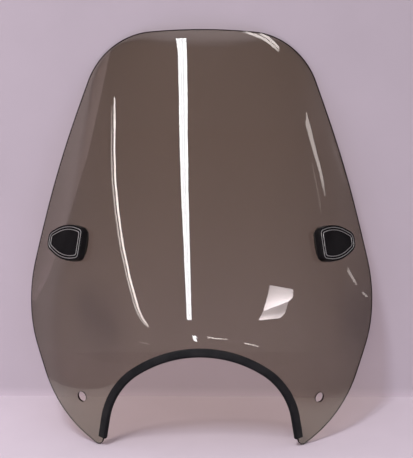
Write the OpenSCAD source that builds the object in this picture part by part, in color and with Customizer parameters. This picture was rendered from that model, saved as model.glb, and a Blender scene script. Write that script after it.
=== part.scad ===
// Motorcycle windshield screen with a headlight arch, an edge trim and two mount blocks.
// The sheet is drawn upright in its own frame, with its tip corners at height zero and its
// front towards -Y, and is then leaned back and stood on its two tips.

/* [Screen sheet] */
// Thickness of the sheet
sheet_t = 3; // [2:0.5:5]
// Height of the top edge above the tip corners, along the sheet's own upright
screen_h = 528; // [470:1:580]
// Radius of the sheet from side to side, and of the ball that its foot is pressed over
across_r = 280; // [265:1:292]
// Radius of the long bend up the sheet
main_r = 1200; // [700:10:2000]
// Height at which the sheet stands upright before it is leaned back
upright_z = 309; // [280:1:340]
// Height at which the long bend changes to the ball-shaped tuck at the foot
tuck_z = 126; // [110:1:160]
// Angle at which the whole screen leans back
lean = 25; // [10:1:35]

/* [Outline] */
// Width of the top edge between its corner points
top_w = 259; // [220:1:300]
// Radius of the top corners
top_corner_r = 85; // [40:1:100]
// How far the sides bow out beyond the straight line between their corner points
side_bow = 5.8; // [2:0.2:8]
// Width between the widest corner points
waist_w = 466; // [440:1:480]
// Height of the widest corner points
waist_z = 187; // [170:1:220]
// Radius of the edge at the widest place
waist_r = 187; // [120:1:230]
// Width between the points where the edge turns in to the tips
sweep_w = 364; // [350:1:380]
// Height of those points
sweep_z = 45; // [38:1:52]
// Radius of the edge there
sweep_r = 184; // [80:1:200]
// Radius of the tips
tip_r = 6.5; // [4:0.5:9]

/* [Headlight arch] */
// Height of the crown of the arch above the tip corners
arch_h = 109.5; // [95:0.5:120]
// Radius of the crown
crown_r = 158.5; // [140:0.5:175]
// Angle from the middle of the arch to the end of its crown
crown_angle = 29.5; // [25:0.5:34]
// Radius of the shoulders
shoulder_r = 80.5; // [70:0.5:90]
// Angle by which the legs of the arch spread from upright
leg_spread = 12; // [6:0.5:16]

/* [Edge trim] */
// How far the trim reaches over the sheet
trim_lap = 6.4; // [4:0.2:9]
// How far the trim stands beyond the edge of the sheet
trim_bead = 4.4; // [3:0.2:7]
// Thickness of each lip of the trim
trim_lip = 2; // [1.2:0.1:3]
// Clearance between the trim and the sheet
trim_gap = 0.1; // [0.05:0.05:0.3]
// Distance of the cut ends of the trim from the tip corners
trim_stop = 13; // [12:0.5:30]

/* [Lower holes] */
// Diameter of the two lower mounting holes
hole_d = 13; // [8:0.5:16]
// Width between the centres of the lower holes
hole_w = 299; // [290:1:310]
// Height of the lower holes
hole_z = 61.5; // [55:0.5:70]

/* [Mount covers] */
// Width between the centres of the two covers
cover_w = 334; // [315:1:345]
// Height of the covers
cover_z = 254; // [225:1:330]
// Angle by which each cover turns with the side edge
cover_roll = 12; // [0:1:20]
// Length of a cover at its base
cover_l = 60; // [58:1:70]
// Height of the wide end of a cover between its corner points
wide_h = 38; // [35:1:44]
// Height of the narrow end of a cover between its corner points
narrow_h = 22; // [20:1:30]
// Height between the corner points that the two bulging edges are rounded from
bulge_h = 55; // [50:1:58]
// Radius of the corners of a cover
cover_corner_r = 9; // [7:0.5:10]
// Radius of the bulging edges
bulge_r = 54; // [40:1:58]
// How far a cover stands out from its gasket
cover_t = 9; // [8.5:0.5:12]
// Thickness of the face of a cover
face_t = 2.4; // [2:0.1:3]
// Thickness of the side wall of a cover
wall_t = 2; // [1.5:0.1:3]
// How much smaller the face is than the base, all round
face_draft = 1.4; // [0.8:0.1:2]
// Width of the rounding where the face meets the side wall
face_round = 0.8; // [0.4:0.1:1.2]

/* [Pin lines] */
// Width of a bright pin line
pin_w = 0.9; // [0.6:0.1:1.3]
// Distance of the outer pin line from the edge of the base
pin_inset = 3.7; // [3.4:0.1:4.2]
// Distance from the outer pin line to the inner one
pin_pitch = 3.2; // [2:0.1:3.6]
// Depth of the grooves that hold the pin lines
pin_depth = 0.6; // [0.3:0.1:1]
// How far the pin lines stand out of their grooves
pin_proud = 0.2; // [0.1:0.1:0.5]

/* [Mount hardware] */
// Least thickness of the gaskets on both faces of the sheet
gasket_t = 1.5; // [1.2:0.1:2]
// Length of the receiver plate
plate_l = 48; // [46:1:52]
// Height of the receiver plate
plate_h = 30; // [27:1:34]
// Thickness of the receiver plate
plate_t = 3.5; // [2.5:0.5:5]
// Radius of the corners of the receiver plate
plate_corner_r = 7; // [4:0.5:10]
// Diameter of the socket boss on the receiver
boss_d = 24; // [23:0.5:26]
// Length of the socket boss
boss_l = 9; // [7:0.5:14]
// Thickness of the ribs that brace the boss
rib_t = 2; // [1.5:0.5:3]
// Outer diameter of the grommet
grommet_d = 17; // [16.5:0.5:19]
// Diameter of the post that the grommet takes
post_d = 12; // [9:0.5:13]
// Diameter of the grommet's flange
flange_d = 21; // [20:0.5:23]
// Thickness of the grommet's flange
flange_t = 2; // [1:0.5:3]
// Distance between the two screws of a mount
screw_w = 36; // [35:0.5:37]
// Diameter of the screws
screw_d = 5; // [4:0.5:5.5]
// Diameter of the screw heads
head_d = 8.5; // [8:0.5:9]
// Height of the screw heads
head_t = 2.8; // [2:0.2:4]
// Width across the flats of the socket in a screw head
socket_w = 3; // [2:0.5:4]
// Outer diameter of the washers
washer_d = 10; // [9.5:0.5:10.5]
// Thickness of the washers
washer_t = 1; // [0.6:0.2:2]
// Outer diameter of the threaded inserts
insert_d = 7; // [6.5:0.5:8]
// Length of the threaded inserts
insert_l = 4.6; // [3:0.2:4.8]
// Clearance of the holes that the screws pass through
screw_gap = 0.4; // [0.2:0.1:0.8]
// Clearance between pieces that are pressed or moulded together
seat_gap = 0.05; // [0.02:0.01:0.1]

/* [Hidden] */

LEFT = -1;
RIGHT = 1;
$fn = 256;

// Largest distance between an arc of an outline and its chords
chord_error = 0.1;
// Reach of the cuts that pass right through a piece
through = 40;
// Angle at the sides, past the edge of the sheet, where the bent blank ends
blank_side = 68;
// Angle up the long bend, past the top edge, where the bent blank ends
blank_top = asin((screen_h - upright_z) / main_r) + 3;
// Reach of the cut that leaves the lower front of the ball
ball_reach = 2 * across_r;
// Depth of the cutting prism of the outline, in front of and behind the sheet's upright
prism_front = 60;
prism_back = 240;

// Angle of the sheet where the long bend changes to the tuck
tuck_angle = asin((tuck_z - upright_z) / main_r);
// Centres of the long bend and of the ball, as distance behind the front and height
main_centre = [main_r, upright_z];
tuck_centre = main_centre - (main_r - across_r) * [cos(tuck_angle), -sin(tuck_angle)];

// Corner points of the arch, where the tangents of its arcs cross
leg_angle = 90 - leg_spread;
crown_reach = crown_r * tan(crown_angle / 2);
shoulder_reach = shoulder_r * tan((leg_angle - crown_angle) / 2);
crown_point = [crown_reach, arch_h];
shoulder_point = crown_point + (crown_reach + shoulder_reach) * [cos(crown_angle), -sin(crown_angle)];
tip_x = shoulder_point.x + shoulder_point.y * tan(leg_spread);

// The bow of a side, as a corner point that is rounded over a third of the side's length
side_top = [top_w / 2, screen_h];
side_foot = [waist_w / 2, waist_z];
side_l = norm(side_top - side_foot);
side_out = [side_top.y - side_foot.y, side_foot.x - side_top.x] / side_l;
bow_point = (side_top + side_foot) / 2 + side_bow * side_out;
bow_r = pow(side_l, 2) / 12 / side_bow;

// Right half of the outline from the top to the arch, as corner points with their radii
edge_half = [
    [side_top.x, side_top.y, top_corner_r],
    [bow_point.x, bow_point.y, bow_r],
    [side_foot.x, side_foot.y, waist_r],
    [sweep_w / 2, sweep_z, sweep_r],
    [tip_x, 0, tip_r],
    [shoulder_point.x, shoulder_point.y, shoulder_r],
    [crown_point.x, crown_point.y, crown_r]
];
// The arch as a closed outline, its legs carried on below the tips
arch_foot = 60;
arch_half = [
    [tip_x + arch_foot * tan(leg_spread), -arch_foot, 0],
    [shoulder_point.x, shoulder_point.y, shoulder_r],
    [crown_point.x, crown_point.y, crown_r]
];

// Half of a cover's base outline, its wide end towards the middle of the screen
cover_half = [
    [cover_l / 2, narrow_h / 2, cover_corner_r],
    [0, bulge_h / 2, bulge_r],
    [-cover_l / 2, wide_h / 2, cover_corner_r]
];
plate_half = [
    [plate_l / 2, plate_h / 2, plate_corner_r],
    [-plate_l / 2, plate_h / 2, plate_corner_r]
];

// Heights along a mount's axis, measured outwards from the outer face of the sheet
cover_base = gasket_t;
cover_face = cover_base + cover_t;
insert_top = cover_base + insert_l;
// How far the sheet falls away across and up the receiver plate
plate_sag = across_r - sqrt(pow(across_r, 2) - pow(plate_l / 2, 2));
plate_rise = pow((plate_h * cos(cover_roll) + plate_l * sin(cover_roll)) / 2, 2) / 2 / main_r;
plate_front = -(sheet_t + plate_sag + gasket_t);
plate_back = plate_front - plate_t;
boss_back = plate_back - boss_l;
head_seat = plate_back - washer_t;
// Depth to which the front gasket follows the sheet at the ends of a cover
gasket_reach = across_r - sqrt(pow(across_r, 2) - pow(cover_l / 2, 2)) + gasket_t;
screw_tip = insert_top - 2 * screw_gap;

// Places of the mounts and the lower holes on the sheet, as angles up and across it
cover_phi = asin(cover_w / 2 / across_r);
cover_theta = asin((cover_z - upright_z) / (main_r - across_r * (1 - cos(cover_phi))));
hole_phi = asin(hole_w / 2 / across_r);
hole_theta = asin((hole_z - tuck_centre.y) / across_r / cos(hole_phi));

function unit(v) = v / norm(v);
function flat(p) = [p.x, p.y];
function reversed(path) = [for (i = [len(path) - 1:-1:0]) path[i]];
function mirrored_x(path) = [for (p = path) [-p.x, p.y, p.z]];
function mirrored_y(path) = [for (p = path) [p.x, -p.y, p.z]];
function arc_steps(r, turn) = max(2, ceil(turn / (2 * acos(1 - chord_error / max(r, 1)))));
function short_turn(a) = a > 180 ? a - 360 : a < -180 ? a + 360 : a;

// Points of the arc that rounds the corner b between its neighbours a and c
function corner_arc(a, b, c) =
    let (
        u = unit(flat(a) - flat(b)),
        v = unit(flat(c) - flat(b)),
        half = acos(u * v) / 2,
        centre = flat(b) + unit(u + v) * b.z / sin(half),
        start = flat(b) + u * b.z / tan(half) - centre,
        end = flat(b) + v * b.z / tan(half) - centre,
        from = atan2(start.y, start.x),
        turn = short_turn(atan2(end.y, end.x) - from),
        steps = arc_steps(b.z, abs(turn))
    )
    [for (i = [0:steps]) centre + b.z * [cos(from + turn * i / steps), sin(from + turn * i / steps)]];

// Points of a closed outline with its corners rounded
function rounded(path) =
    let (n = len(path))
    [for (i = [0:n - 1])
        each path[i].z > 0
            ? corner_arc(path[(i + n - 1) % n], path[i], path[(i + 1) % n])
            : [flat(path[i])]];

// Outward side of the edge from a to b, on an outline that runs counterclockwise
function outward(a, b) = let (d = unit(flat(b) - flat(a))) [d.y, -d.x];

// A closed outline moved outwards by a distance, with its radii grown to match
function shifted(path, distance) =
    let (n = len(path))
    [for (i = [0:n - 1])
        let (
            before = outward(path[(i + n - 1) % n], path[i]),
            after = outward(path[i], path[(i + 1) % n]),
            p = flat(path[i]) + distance * (before + after) / (1 + before * after)
        )
        [p.x, p.y, path[i].z > 0 ? max(path[i].z + distance, 0.5) : 0]];

screen_path = concat(mirrored_x(edge_half), reversed(edge_half));
arch_path = concat(arch_half, reversed(mirrored_x(arch_half)));
cover_path = concat(cover_half, reversed(mirrored_y(cover_half)));
plate_path = concat(plate_half, reversed(mirrored_y(plate_half)));

// Depth of a face of the sheet at a place on the tuck, the face moved outwards by offset
function tuck_depth(x, z, offset) =
    tuck_centre.x - sqrt(pow(across_r + offset, 2) - x * x - pow(z - tuck_centre.y, 2));

// Depth of the same face on the long bend
function main_depth(x, z, offset) =
    let (
        r = across_r + offset,
        reach = main_r - across_r + sqrt(r * r - x * x)
    )
    main_centre.x - sqrt(reach * reach - pow(z - main_centre.y, 2));

// Height and depth of a place in the leaned screen
function leaned_height(y, z) = z * cos(lean) - y * sin(lean);
function leaned_depth(y, z) = y * cos(lean) + z * sin(lean);

// The tips stand on height zero, and the screen is centred from front to back
foot_points = [for (p = rounded(screen_path)) if (p.y < tuck_z / 2) p];
lift = -min([for (p = foot_points) leaned_height(tuck_depth(p.x, p.y, -sheet_t), p.y)]);
top_points = [for (p = rounded(screen_path)) if (p.y > upright_z) p];
back_depth = max([for (p = top_points) leaned_depth(main_depth(p.x, p.y, -sheet_t), p.y)]);
front_depth = leaned_depth(tuck_depth(0, arch_h, trim_lip), arch_h);
centring = -(back_depth + front_depth) / 2;

// Leans the upright screen back and stands it on its tips
module stand() {
    translate([0, centring, lift])
        rotate([-lean, 0, 0])
            children();
}

// Turns a piece that is drawn for the right side into one for the given side
module on_side(side) {
    mirror([side == LEFT ? 1 : 0, 0, 0])
        children();
}

// Puts a piece on the outer face of the sheet, with +Z of the piece pointing out of it
module on_sheet(centre, bend_r, theta, phi) {
    translate([0, centre.x, centre.y])
        rotate([-theta, 0, 0])
            translate([0, across_r - bend_r, 0])
                rotate([0, 0, phi])
                    translate([0, -across_r, 0])
                        rotate([90, 0, 0])
                            children();
}

module at_mount() {
    on_sheet(main_centre, main_r, cover_theta, cover_phi)
        rotate([0, 0, cover_roll])
            children();
}

module at_lower_hole() {
    on_sheet(tuck_centre, across_r, hole_theta, hole_phi)
        children();
}

module at_screws() {
    for (x = [-screw_w / 2, screw_w / 2])
        translate([x, 0, 0])
            children();
}

// Section across the long bend, its face moved outwards by outer and inwards to inner
module across_section(outer, inner) {
    intersection() {
        translate([main_r - across_r, 0])
            difference() {
                circle(r = across_r + outer);
                circle(r = across_r + inner);
            }
        translate([main_r - across_r * (1 - cos(blank_side)), -across_r * 2])
            square([across_r * 2, across_r * 4]);
    }
}

// The long bend of the sheet, from the tuck up
module long_bend(outer, inner) {
    rotate([90, 0, -90])
        rotate_extrude(angle = blank_top - tuck_angle)
            across_section(outer, inner);
}

// The front lower quarter of the ball that shapes the tuck
module ball_tuck(outer, inner) {
    translate([0, across_r - main_r, 0])
        intersection() {
            difference() {
                sphere(r = across_r + outer);
                sphere(r = across_r + inner);
            }
            translate([-ball_reach, -ball_reach, -ball_reach])
                cube([2 * ball_reach, ball_reach, ball_reach]);
        }
}

// The bent blank between two faces of the sheet, both bends drawn level where they meet
module bent_blank(outer, inner) {
    translate([0, main_centre.x, main_centre.y])
        rotate([-tuck_angle, 0, 0]) {
            long_bend(outer, inner);
            ball_tuck(outer, inner);
        }
}

// Cuts an outline through the sheet from front to back
module prism() {
    translate([0, prism_back, 0])
        rotate([90, 0, 0])
            linear_extrude(prism_front + prism_back)
                children();
}

// A straight bar of an outline on a mount, from one height to another
module slab(path, low, high) {
    translate([0, 0, low])
        linear_extrude(high - low)
            polygon(rounded(path));
}

module screw_holes(diameter) {
    at_screws()
        cylinder(d = diameter, h = through, center = true);
}

module screen() {
    color([0.36, 0.32, 0.28, 0.7])
        stand()
            difference() {
                intersection() {
                    bent_blank(0, -sheet_t);
                    prism()
                        polygon(rounded(screen_path));
                }
                for (side = [LEFT, RIGHT])
                    on_side(side) {
                        at_lower_hole()
                            cylinder(d = hole_d, h = through, center = true);
                        at_mount()
                            screw_holes(screw_d + 2 * screw_gap);
                    }
            }
}

// Everything below the square cut at the end of the trim, on the right side
module trim_cut() {
    translate([tip_x, 0])
        rotate(leg_spread)
            translate([-4 * arch_foot, trim_stop - 4 * arch_foot])
                square([6 * arch_foot, 4 * arch_foot]);
}

module trim_band() {
    difference() {
        polygon(rounded(shifted(arch_path, trim_lap)));
        polygon(rounded(shifted(arch_path, -trim_bead)));
        trim_cut();
        mirror([1, 0])
            trim_cut();
    }
}

module trim_slot() {
    difference() {
        polygon(rounded(shifted(arch_path, trim_lap + through)));
        polygon(rounded(shifted(arch_path, -trim_gap)));
    }
}

module headlight_trim() {
    color([0.09, 0.09, 0.1])
        stand()
            difference() {
                intersection() {
                    bent_blank(trim_lip + trim_gap, -sheet_t - trim_lip - trim_gap);
                    prism()
                        trim_band();
                }
                intersection() {
                    bent_blank(trim_gap, -sheet_t - trim_gap);
                    prism()
                        trim_slot();
                }
            }
}

// A groove for a pin line, or the pin line itself, at a distance in from the base edge
module pin_ring(inset, low, high, ease) {
    difference() {
        slab(shifted(cover_path, ease - inset), low, high);
        slab(shifted(cover_path, -ease - inset - pin_w), low - 1, high + 1);
    }
}

// The tapered outside of a cover, rounded over where its face begins
module cover_skin() {
    hull() {
        slab(cover_path, cover_base, cover_base + wall_t);
        slab(shifted(cover_path, -face_draft + face_round / 2), cover_face - 2 * face_round,
            cover_face - face_round);
        slab(shifted(cover_path, -face_draft - face_round / 2), cover_face - face_round, cover_face);
    }
}

module mount_cover() {
    inside = shifted(cover_path, -face_draft - wall_t);
    difference() {
        union() {
            difference() {
                cover_skin();
                slab(inside, cover_base - 1, cover_face - face_t);
            }
            at_screws()
                translate([0, 0, cover_base])
                    cylinder(d = insert_d + 2 * wall_t, h = cover_t - face_t / 2);
        }
        at_screws()
            translate([0, 0, cover_base - 1])
                cylinder(d = insert_d + 2 * seat_gap, h = insert_l + 1 + seat_gap);
        for (inset = [pin_inset, pin_inset + pin_pitch])
            pin_ring(inset, cover_face - pin_depth, cover_face + 1, seat_gap);
    }
}

module pinline(inset) {
    pin_ring(inset, cover_face - pin_depth, cover_face + pin_proud, 0);
}

// The part of space behind the curve of the sheet at a mount, moved outwards by offset
module behind_mount(offset) {
    rotate([0, 0, -cover_roll])
        translate([0, 0, -across_r])
            rotate([90, 0, 0])
                cylinder(r = across_r + offset, h = 4 * through, center = true);
}

module front_gasket() {
    difference() {
        slab(shifted(cover_path, -wall_t / 2), -gasket_reach, cover_base);
        behind_mount(0);
        screw_holes(screw_d + 2 * screw_gap);
    }
}

module rear_gasket() {
    difference() {
        intersection() {
            slab(plate_path, plate_front, 0);
            behind_mount(-sheet_t - plate_rise);
        }
        screw_holes(screw_d + 2 * screw_gap);
    }
}

module receiver() {
    difference() {
        union() {
            slab(plate_path, plate_back, plate_front);
            translate([0, 0, boss_back])
                cylinder(d = boss_d, h = plate_back - boss_back + plate_t / 2);
            translate([-rib_t / 2, -plate_h / 2 + rib_t, plate_back - boss_l / 2])
                cube([rib_t, plate_h - 2 * rib_t, boss_l / 2 + plate_t / 2]);
        }
        screw_holes(screw_d + 2 * screw_gap);
        translate([0, 0, boss_back - 1])
            cylinder(d = grommet_d + 2 * seat_gap, h = boss_l + 1);
    }
}

module post_grommet() {
    difference() {
        union() {
            translate([0, 0, boss_back])
                cylinder(d = grommet_d, h = boss_l - seat_gap);
            translate([0, 0, boss_back - flange_t])
                cylinder(d = flange_d, h = flange_t);
        }
        translate([0, 0, boss_back - flange_t - 1])
            cylinder(d = post_d, h = boss_l + flange_t + 2);
    }
}

module mount_screws() {
    at_screws()
        difference() {
            union() {
                translate([0, 0, head_seat - head_t / 4])
                    cylinder(d = screw_d, h = screw_tip - head_seat + head_t / 4);
                translate([0, 0, head_seat - head_t])
                    cylinder(d1 = head_d - head_t / 2, d2 = head_d, h = head_t);
            }
            translate([0, 0, head_seat - head_t - 1])
                cylinder(d = socket_w / cos(30), h = head_t / 2 + 1, $fn = 6);
        }
}

module mount_washers() {
    at_screws()
        translate([0, 0, head_seat])
            difference() {
                cylinder(d = washer_d, h = washer_t);
                cylinder(d = screw_d + 2 * screw_gap, h = through, center = true);
            }
}

module threaded_inserts() {
    at_screws()
        translate([0, 0, cover_base])
            difference() {
                cylinder(d = insert_d, h = insert_l);
                cylinder(d = screw_d + 2 * seat_gap, h = through, center = true);
            }
}

module side_mount_cover(side) {
    color([0.1, 0.09, 0.1])
        stand()
            on_side(side)
                at_mount()
                    mount_cover();
}

module side_pinline(side, inset) {
    color([0.72, 0.72, 0.74])
        stand()
            on_side(side)
                at_mount()
                    pinline(inset);
}

module side_front_gasket(side) {
    color([0.06, 0.06, 0.06])
        stand()
            on_side(side)
                at_mount()
                    front_gasket();
}

module side_rear_gasket(side) {
    color([0.06, 0.06, 0.06])
        stand()
            on_side(side)
                at_mount()
                    rear_gasket();
}

module side_receiver(side) {
    color([0.13, 0.13, 0.14])
        stand()
            on_side(side)
                at_mount()
                    receiver();
}

module side_post_grommet(side) {
    color([0.05, 0.05, 0.05])
        stand()
            on_side(side)
                at_mount()
                    post_grommet();
}

module side_screws(side) {
    color([0.6, 0.6, 0.62])
        stand()
            on_side(side)
                at_mount()
                    mount_screws();
}

module side_washers(side) {
    color([0.68, 0.68, 0.7])
        stand()
            on_side(side)
                at_mount()
                    mount_washers();
}

module side_threaded_inserts(side) {
    color([0.72, 0.58, 0.3])
        stand()
            on_side(side)
                at_mount()
                    threaded_inserts();
}

screen();
headlight_trim();
side_mount_cover(LEFT);  // left_mount_cover
side_pinline(LEFT, pin_inset);  // left_outer_pinline
side_pinline(LEFT, pin_inset + pin_pitch);  // left_inner_pinline
side_front_gasket(LEFT);  // left_front_gasket
side_rear_gasket(LEFT);  // left_rear_gasket
side_receiver(LEFT);  // left_receiver
side_post_grommet(LEFT);  // left_post_grommet
side_screws(LEFT);  // left_screws
side_washers(LEFT);  // left_washers
side_threaded_inserts(LEFT);  // left_threaded_inserts
side_mount_cover(RIGHT);  // right_mount_cover
side_pinline(RIGHT, pin_inset);  // right_outer_pinline
side_pinline(RIGHT, pin_inset + pin_pitch);  // right_inner_pinline
side_front_gasket(RIGHT);  // right_front_gasket
side_rear_gasket(RIGHT);  // right_rear_gasket
side_receiver(RIGHT);  // right_receiver
side_post_grommet(RIGHT);  // right_post_grommet
side_screws(RIGHT);  // right_screws
side_washers(RIGHT);  // right_washers
side_threaded_inserts(RIGHT);  // right_threaded_inserts
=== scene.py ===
"""Looks of a motorcycle windshield screen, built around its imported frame, in metres."""
import logging
import math
from collections.abc import Callable, Sequence
from dataclasses import dataclass
from enum import Enum
from functools import cache
from typing import Any

import bpy
import numpy as np
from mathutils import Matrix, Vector


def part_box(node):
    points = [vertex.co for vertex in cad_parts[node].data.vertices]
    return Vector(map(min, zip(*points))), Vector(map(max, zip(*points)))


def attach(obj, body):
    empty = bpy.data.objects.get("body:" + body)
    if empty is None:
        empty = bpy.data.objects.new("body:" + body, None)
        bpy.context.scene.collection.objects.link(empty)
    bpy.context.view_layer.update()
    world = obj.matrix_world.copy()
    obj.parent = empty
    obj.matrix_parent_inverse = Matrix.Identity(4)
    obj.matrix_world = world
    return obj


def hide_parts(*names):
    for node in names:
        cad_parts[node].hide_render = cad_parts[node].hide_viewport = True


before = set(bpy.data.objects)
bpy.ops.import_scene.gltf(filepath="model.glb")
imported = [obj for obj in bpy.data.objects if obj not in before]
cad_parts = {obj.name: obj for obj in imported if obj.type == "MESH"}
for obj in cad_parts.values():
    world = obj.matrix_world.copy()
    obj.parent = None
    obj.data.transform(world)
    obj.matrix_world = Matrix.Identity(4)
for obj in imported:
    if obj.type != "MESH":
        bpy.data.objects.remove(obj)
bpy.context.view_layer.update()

LOG = logging.getLogger("windshield")
BODY = "root"
GLOW_LEVEL = "glow"
MM = 0.001
WELD = 1e-6
PHOTO_WIDTH = 413
PHOTO_HEIGHT = 458

Colour = tuple[float, float, float]
Place = tuple[float, float, float]
Corner = tuple[float, float, float]
Pixel = tuple[float, float]
Range = tuple[float, float]
Array = np.ndarray
Node = bpy.types.Node
Piece = bpy.types.Object
Socket = bpy.types.NodeSocket
Tree = bpy.types.NodeTree


class Side(Enum):
    """The two sides of the screen, with the sign of their X."""

    LEFT = -1
    RIGHT = 1

    @property
    def label(self) -> str:
        """Name of the side as the frame's nodes write it."""
        return self.name.lower()


# Shapes in the plane


def unit(vectors: Array) -> Array:
    """Scales vectors, in the last axis, to a length of one."""
    return vectors / np.linalg.norm(vectors, axis=-1, keepdims=True)


def quarter_turn(steps: int) -> Array:
    """Divides a quarter of a turn into angles at equal steps."""
    return np.linspace(0, math.pi / 2, steps + 1)


def corner_arc(before: Corner, corner: Corner, after: Corner, steps: int) -> Array:
    """Rounds one corner of an outline.

    Args:
        before: the corner point before it.
        corner: the corner point, with its radius third.
        after: the corner point after it.
        steps: number of chords in the arc.

    Returns:
        The points of the arc, or the sharp corner itself if it has no radius.
    """
    point, radius = np.array(corner[:2]), corner[2]
    if radius <= 0:
        return point[None]
    back, ahead = unit(np.array(before[:2]) - point), unit(np.array(after[:2]) - point)
    half = math.acos(float(np.clip(back @ ahead, -1, 1))) / 2
    centre = point + unit(back + ahead) * radius / math.sin(half)
    start, end = (point + ray * radius / math.tan(half) - centre for ray in (back, ahead))
    first = math.atan2(start[1], start[0])
    turn = (math.atan2(end[1], end[0]) - first + math.pi) % (2 * math.pi) - math.pi
    angles = first + turn * np.linspace(0, 1, steps + 1)
    return centre + radius * np.column_stack((np.cos(angles), np.sin(angles)))


def corner_arcs(path: Sequence[Corner], steps: int) -> list[Array]:
    """Rounds every corner of a closed outline and returns its arcs, each of so many chords."""
    count = len(path)
    return [corner_arc(path[i - 1], path[i], path[(i + 1) % count], steps) for i in range(count)]


def shifted(path: Sequence[Corner], distance: float, least: float) -> list[Corner]:
    """Moves a closed outline that runs counterclockwise outwards, with its radii grown to match.

    Args:
        path: corner points with their radii.
        distance: how far the outline moves; inwards if it is negative.
        least: smallest radius that a corner may get.

    Returns:
        The corner points of the moved outline.
    """
    points = np.array([corner[:2] for corner in path])
    along = unit(np.roll(points, -1, axis=0) - points)
    after = np.column_stack((along[:, 1], -along[:, 0]))
    before = np.roll(after, 1, axis=0)
    moved = points + distance * (before + after) / (1 + np.sum(before * after, axis=1))[:, None]
    return [(*point, max(corner[2] + distance, least)) for point, corner in zip(moved, path)]


def resampled(points: Array, count: int) -> Array:
    """Spreads points evenly along a line.

    Args:
        points: the line, as rows of coordinates.
        count: number of stretches to divide it into.

    Returns:
        count + 1 points at equal distances along the line.
    """
    steps = np.linalg.norm(np.diff(points, axis=0), axis=1)
    reach = np.concatenate(([0.0], np.cumsum(steps)))
    wanted = np.linspace(0, reach[-1], count + 1)
    return np.column_stack([np.interp(wanted, reach, column) for column in points.T])


# Work on meshes


def deselect() -> None:
    """Leaves nothing selected, in object mode."""
    if bpy.context.object and bpy.context.object.mode != "OBJECT":
        bpy.ops.object.mode_set(mode="OBJECT")
    bpy.ops.object.select_all(action="DESELECT")


def activate(piece: Piece) -> None:
    """Makes one piece the only selected and the active one.

    Args:
        piece: the piece.
    """
    deselect()
    piece.select_set(True)
    bpy.context.view_layer.objects.active = piece


def edit_all(piece: Piece, *steps: Callable[[], Any]) -> None:
    """Runs edit mode steps on the whole of a piece.

    Args:
        piece: the piece to edit.
        steps: operators to call in order, each with everything selected.
    """
    activate(piece)
    bpy.ops.object.mode_set(mode="EDIT")
    for step in steps:
        bpy.ops.mesh.select_all(action="SELECT")
        step()
    bpy.ops.object.mode_set(mode="OBJECT")


def weld(distance: float = WELD) -> None:
    """Merges the doubled points of what is selected in edit mode."""
    bpy.ops.mesh.remove_doubles(threshold=distance)


def cap_ends() -> None:
    """Closes the open ends of what is selected in edit mode."""
    bpy.ops.mesh.fill_holes(sides=0)


def face_outwards() -> None:
    """Turns the faces of what is selected in edit mode outwards."""
    bpy.ops.mesh.normals_make_consistent(inside=False)


def points_of(mesh: bpy.types.Mesh) -> Array:
    """Reads the places of a mesh's points, one in each row.

    Args:
        mesh: the mesh to read.

    Returns:
        The places.
    """
    flat = np.empty(len(mesh.vertices) * 3)
    mesh.vertices.foreach_get("co", flat)
    return flat.reshape(-1, 3)


def lay_grid(name: str, rows: Array, level: Array | None = None) -> Piece:
    """Adds a grid and lays its points on rows of places.

    Args:
        name: name of the new piece.
        rows: places, shaped rows by columns by three.
        level: a value for each place, kept as the glow attribute.

    Returns:
        The new piece, with points that fall together still apart.
    """
    deselect()
    last_row, last_column = rows.shape[0] - 1, rows.shape[1] - 1
    bpy.ops.mesh.primitive_grid_add(x_subdivisions=last_column, y_subdivisions=last_row, size=1.0)
    piece = bpy.context.object
    piece.name = piece.data.name = name
    cells = (points_of(piece.data)[:, :2] + 0.5) * (last_column, last_row)
    column, row = np.rint(cells).astype(int).T
    piece.data.vertices.foreach_set("co", rows[row, column].ravel())
    if level is not None:
        glow = piece.data.attributes.new(GLOW_LEVEL, "FLOAT", "POINT")
        glow.data.foreach_set("value", level[row, column].astype(np.float32))
    piece.data.update()
    return piece


def closed_loft(name: str, rows: Array, capped: bool = True) -> Piece:
    """Lofts closed rings into a solid.

    Args:
        name: name of the new piece.
        rows: rings of places, shaped rings by points by three.
        capped: whether the first and last ring are filled; otherwise they are the same ring.

    Returns:
        The closed piece, its faces outwards.
    """
    piece = lay_grid(name, np.concatenate((rows, rows[:, :1]), axis=1))
    steps = [weld, cap_ends, face_outwards] if capped else [weld, face_outwards]
    edit_all(piece, *steps)
    return piece


def apply_modifier(piece: Piece, kind: str, **settings: Any) -> None:
    """Adds a modifier to a piece and applies it.

    Args:
        piece: the piece to change.
        kind: the modifier's type.
        settings: its settings by name.
    """
    activate(piece)
    modifier = piece.modifiers.new(kind.lower(), kind)
    for key, value in settings.items():
        setattr(modifier, key, value)
    bpy.ops.object.modifier_apply(modifier=modifier.name)


def bevel_edges(piece: Piece, width: float, segments: int, angle: float) -> None:
    """Eases the edges of a piece where its faces meet at more than an angle."""
    limits = {"limit_method": "ANGLE", "angle_limit": angle}
    apply_modifier(piece, "BEVEL", width=width, segments=segments, **limits)


def dress(piece: Piece, smooth_angle: float, finish: "Finish", slot: str, *nodes: str) -> None:
    """Shades a modelled piece and gives it its material and its place in the frame.

    Args:
        piece: the modelled piece.
        smooth_angle: angle below which the faces are shaded as one surface.
        finish: the finish it gets.
        slot: the record's material slot, which is not used.
        nodes: the frame's nodes that the piece stands for.
    """
    activate(piece)
    bpy.ops.object.shade_smooth_by_angle(angle=smooth_angle)
    piece.data.materials.clear()
    piece.data.materials.append(finish.material())
    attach(piece, BODY)
    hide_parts(*nodes)
    LOG.info("%s: %d faces, for %s", piece.name, len(piece.data.polygons), ", ".join(nodes))


# Shader nodes


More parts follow.
